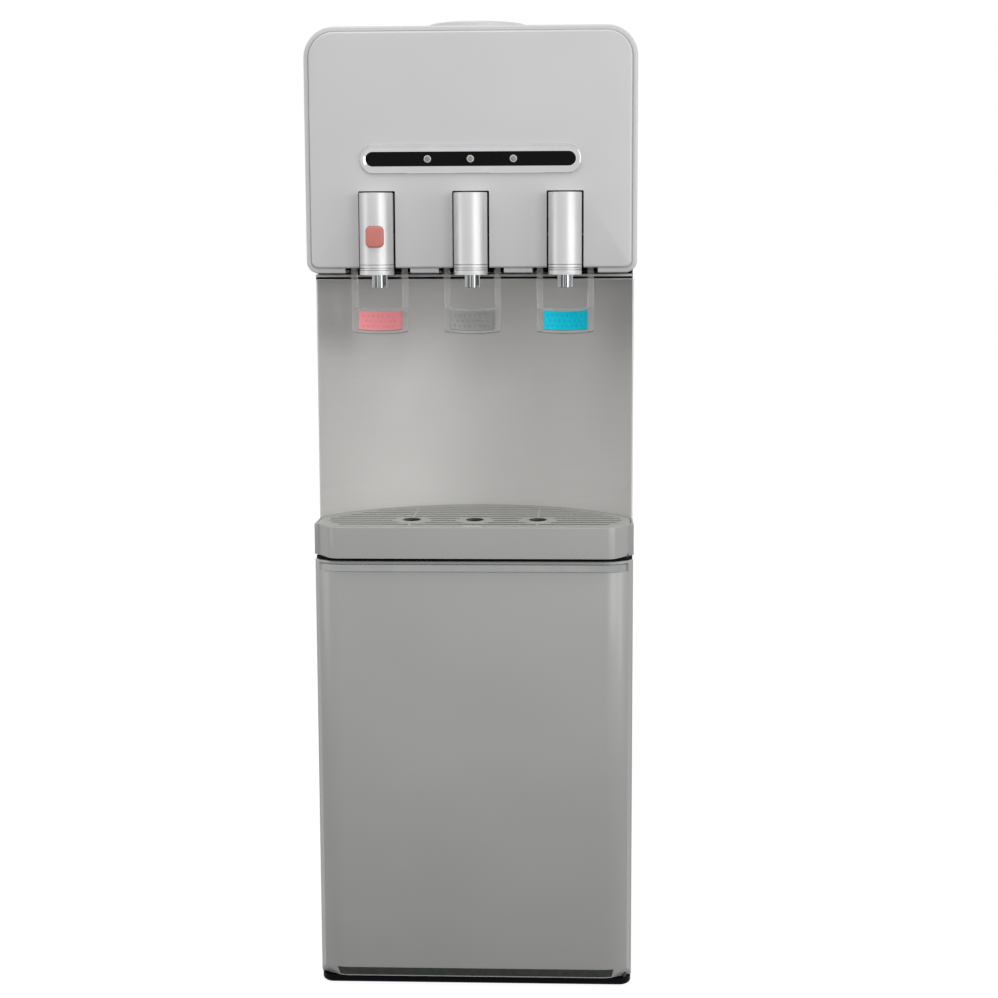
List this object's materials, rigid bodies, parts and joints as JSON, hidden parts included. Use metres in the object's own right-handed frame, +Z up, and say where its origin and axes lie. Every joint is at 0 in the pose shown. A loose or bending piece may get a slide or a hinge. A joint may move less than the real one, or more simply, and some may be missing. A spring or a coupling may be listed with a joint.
{
  "type": "water dispenser",
  "caption": "Floor-standing water dispenser: hot, normal and cold taps with clear levers over a drip tray in a concave bay, a storage cabinet below and a bottle seat on top.",
  "frame": {"origin": "on the floor under the middle of the object's bounding box", "axes": "+Z up; -Y is the front, where the taps, tray and door are; +X is the viewer's right"},
  "size_m": [0.3134, 0.3394, 0.9525],
  "materials": {
    "silver_plastic": "silver pearl moulding",
    "head_plastic": "light silver pearl moulding",
    "case_steel": "grey powder coat on sheet steel",
    "bay_steel": "satin",
    "black_plastic": "fine textured",
    "white_plastic": "smooth",
    "foam": "foam, moulded",
    "rubber": "matt",
    "chrome": "polished",
    "clear_plastic": "clear moulded acrylic",
    "window_plastic": "polished",
    "lens_plastic": "milky",
    "board": "green laminate",
    "red_plastic": "tinted",
    "grey_plastic": "tinted",
    "blue_plastic": "tinted",
    "button_plastic": "satin",
    "steel": "drawn",
    "tank_steel": "spun stainless",
    "zinc_steel": "zinc plated",
    "black_metal": "black enamel",
    "silicone": "milky silicone",
    "red_switch": "smooth",
    "green_switch": "smooth"
  },
  "bodies": {
    "case": {"base_plinth": "black_plastic", "rubber_feet": "rubber", "left_side_panel": "case_steel", "right_side_panel": "case_steel", "rear_panel": "black_metal", "top_cover": "head_plastic", "bottle_collar": "head_plastic", "bottle_funnel": "white_plastic", "head_front": "head_plastic", "head_floor": "silver_plastic", "tap_bracket": "zinc_steel", "indicator_bezel": "chrome", "indicator_window": "window_plastic", "indicator_lenses": "lens_plastic", "indicator_board": "board", "lever_pivot_pins": "steel", "child_lock_spring": "steel", "recess_panel": "bay_steel", "tray_housing": "silver_plastic", "hinge_pins": "steel", "cabinet_liner": "white_plastic", "cold_tank": "tank_steel", "cold_tank_foam": "foam", "hot_tank": "tank_steel", "compressor": "black_metal", "condenser": "black_metal", "water_tubes": "silicone", "switch_housing": "black_plastic", "cord_gland": "black_plastic", "case_screws": "steel", "hot_tap_cover": "head_plastic", "hot_spout": "chrome", "hot_valve_body": "white_plastic", "hot_valve_spring": "steel", "normal_tap_cover": "head_plastic", "normal_spout": "chrome", "normal_valve_body": "white_plastic", "normal_valve_spring": "steel", "cold_tap_cover": "head_plastic", "cold_spout": "chrome", "cold_valve_body": "white_plastic", "cold_valve_spring": "steel"},
    "door": {"door_shell": "silver_plastic", "door_back_panel": "white_plastic", "door_trim_strip": "chrome"},
    "tray_pan": {"drip_pan": "silver_plastic"},
    "tray_grille": {"drip_grille": "silver_plastic"},
    "lock_button": {"child_lock_button": "button_plastic"},
    "hot_rocker": {"hot_switch": "red_switch"},
    "cold_rocker": {"cold_switch": "green_switch"},
    "plug": {"drain_plug": "white_plastic"},
    "hot_lever_body": {"hot_lever": "clear_plastic", "hot_lever_pad": "red_plastic"},
    "hot_stem_body": {"hot_valve_stem": "silicone"},
    "normal_lever_body": {"normal_lever": "clear_plastic", "normal_lever_pad": "grey_plastic"},
    "normal_stem_body": {"normal_valve_stem": "silicone"},
    "cold_lever_body": {"cold_lever": "clear_plastic", "cold_lever_pad": "blue_plastic"},
    "cold_stem_body": {"cold_valve_stem": "silicone"}
  },
  "joints": [
    {"name": "door_hinge", "type": "hinge", "parent": "case", "child": "door", "pos_m": [0.148, -0.12837, 0.2], "axis": [0, 0, 1], "range_deg": [0, 105]},
    {"name": "child_lock_press", "type": "slide", "parent": "case", "child": "lock_button", "axis": [0, 1, 0], "range_m": [0, 0.003], "stiffness_N_per_m": 300, "springref_m": -0.004, "deforming": ["child_lock_spring"]},
    {"name": "drip_pan_lift", "type": "slide", "parent": "case", "child": "tray_pan", "axis": [0, 0, 1], "range_m": [0, 0.09]},
    {"name": "drip_grille_lift", "type": "slide", "parent": "tray_pan", "child": "tray_grille", "axis": [0, 0, 1], "range_m": [0, 0.08]},
    {"name": "hot_switch_rock", "type": "hinge", "parent": "case", "child": "hot_rocker", "pos_m": [0.112, 0.15563, 0.752], "axis": [1, 0, 0], "range_deg": [0, 18]},
    {"name": "cold_switch_rock", "type": "hinge", "parent": "case", "child": "cold_rocker", "pos_m": [0.112, 0.15563, 0.728], "axis": [1, 0, 0], "range_deg": [0, 18]},
    {"name": "drain_plug_pull", "type": "slide", "parent": "case", "child": "plug", "axis": [0, 1, 0], "range_m": [0, 0.015]},
    {"name": "hot_lever_pivot", "type": "hinge", "parent": "case", "child": "hot_lever_body", "pos_m": [-0.0889, -0.13287, 0.746], "axis": [1, 0, 0], "range_deg": [0, 15], "stiffness_Nm_per_rad": 1, "springref_deg": -8.59},
    {"name": "hot_stem_lift", "type": "slide", "parent": "case", "child": "hot_stem_body", "axis": [0, 0, 1], "range_m": [0, 0.0026], "deforming": ["hot_valve_spring"]},
    {"name": "normal_lever_pivot", "type": "hinge", "parent": "case", "child": "normal_lever_body", "pos_m": [0, -0.13287, 0.746], "axis": [1, 0, 0], "range_deg": [0, 15], "stiffness_Nm_per_rad": 1, "springref_deg": -8.59},
    {"name": "normal_stem_lift", "type": "slide", "parent": "case", "child": "normal_stem_body", "axis": [0, 0, 1], "range_m": [0, 0.0026], "deforming": ["normal_valve_spring"]},
    {"name": "cold_lever_pivot", "type": "hinge", "parent": "case", "child": "cold_lever_body", "pos_m": [0.0889, -0.13287, 0.746], "axis": [1, 0, 0], "range_deg": [0, 15], "stiffness_Nm_per_rad": 1, "springref_deg": -8.59},
    {"name": "cold_stem_lift", "type": "slide", "parent": "case", "child": "cold_stem_body", "axis": [0, 0, 1], "range_m": [0, 0.0026], "deforming": ["cold_valve_spring"]}
  ],
  "couplings": [
    {"joint": "hot_stem_lift", "follows": "hot_lever_pivot", "m_per_rad": 0.0095},
    {"joint": "normal_stem_lift", "follows": "normal_lever_pivot", "m_per_rad": 0.0095},
    {"joint": "cold_stem_lift", "follows": "cold_lever_pivot", "m_per_rad": 0.0095}
  ]
}
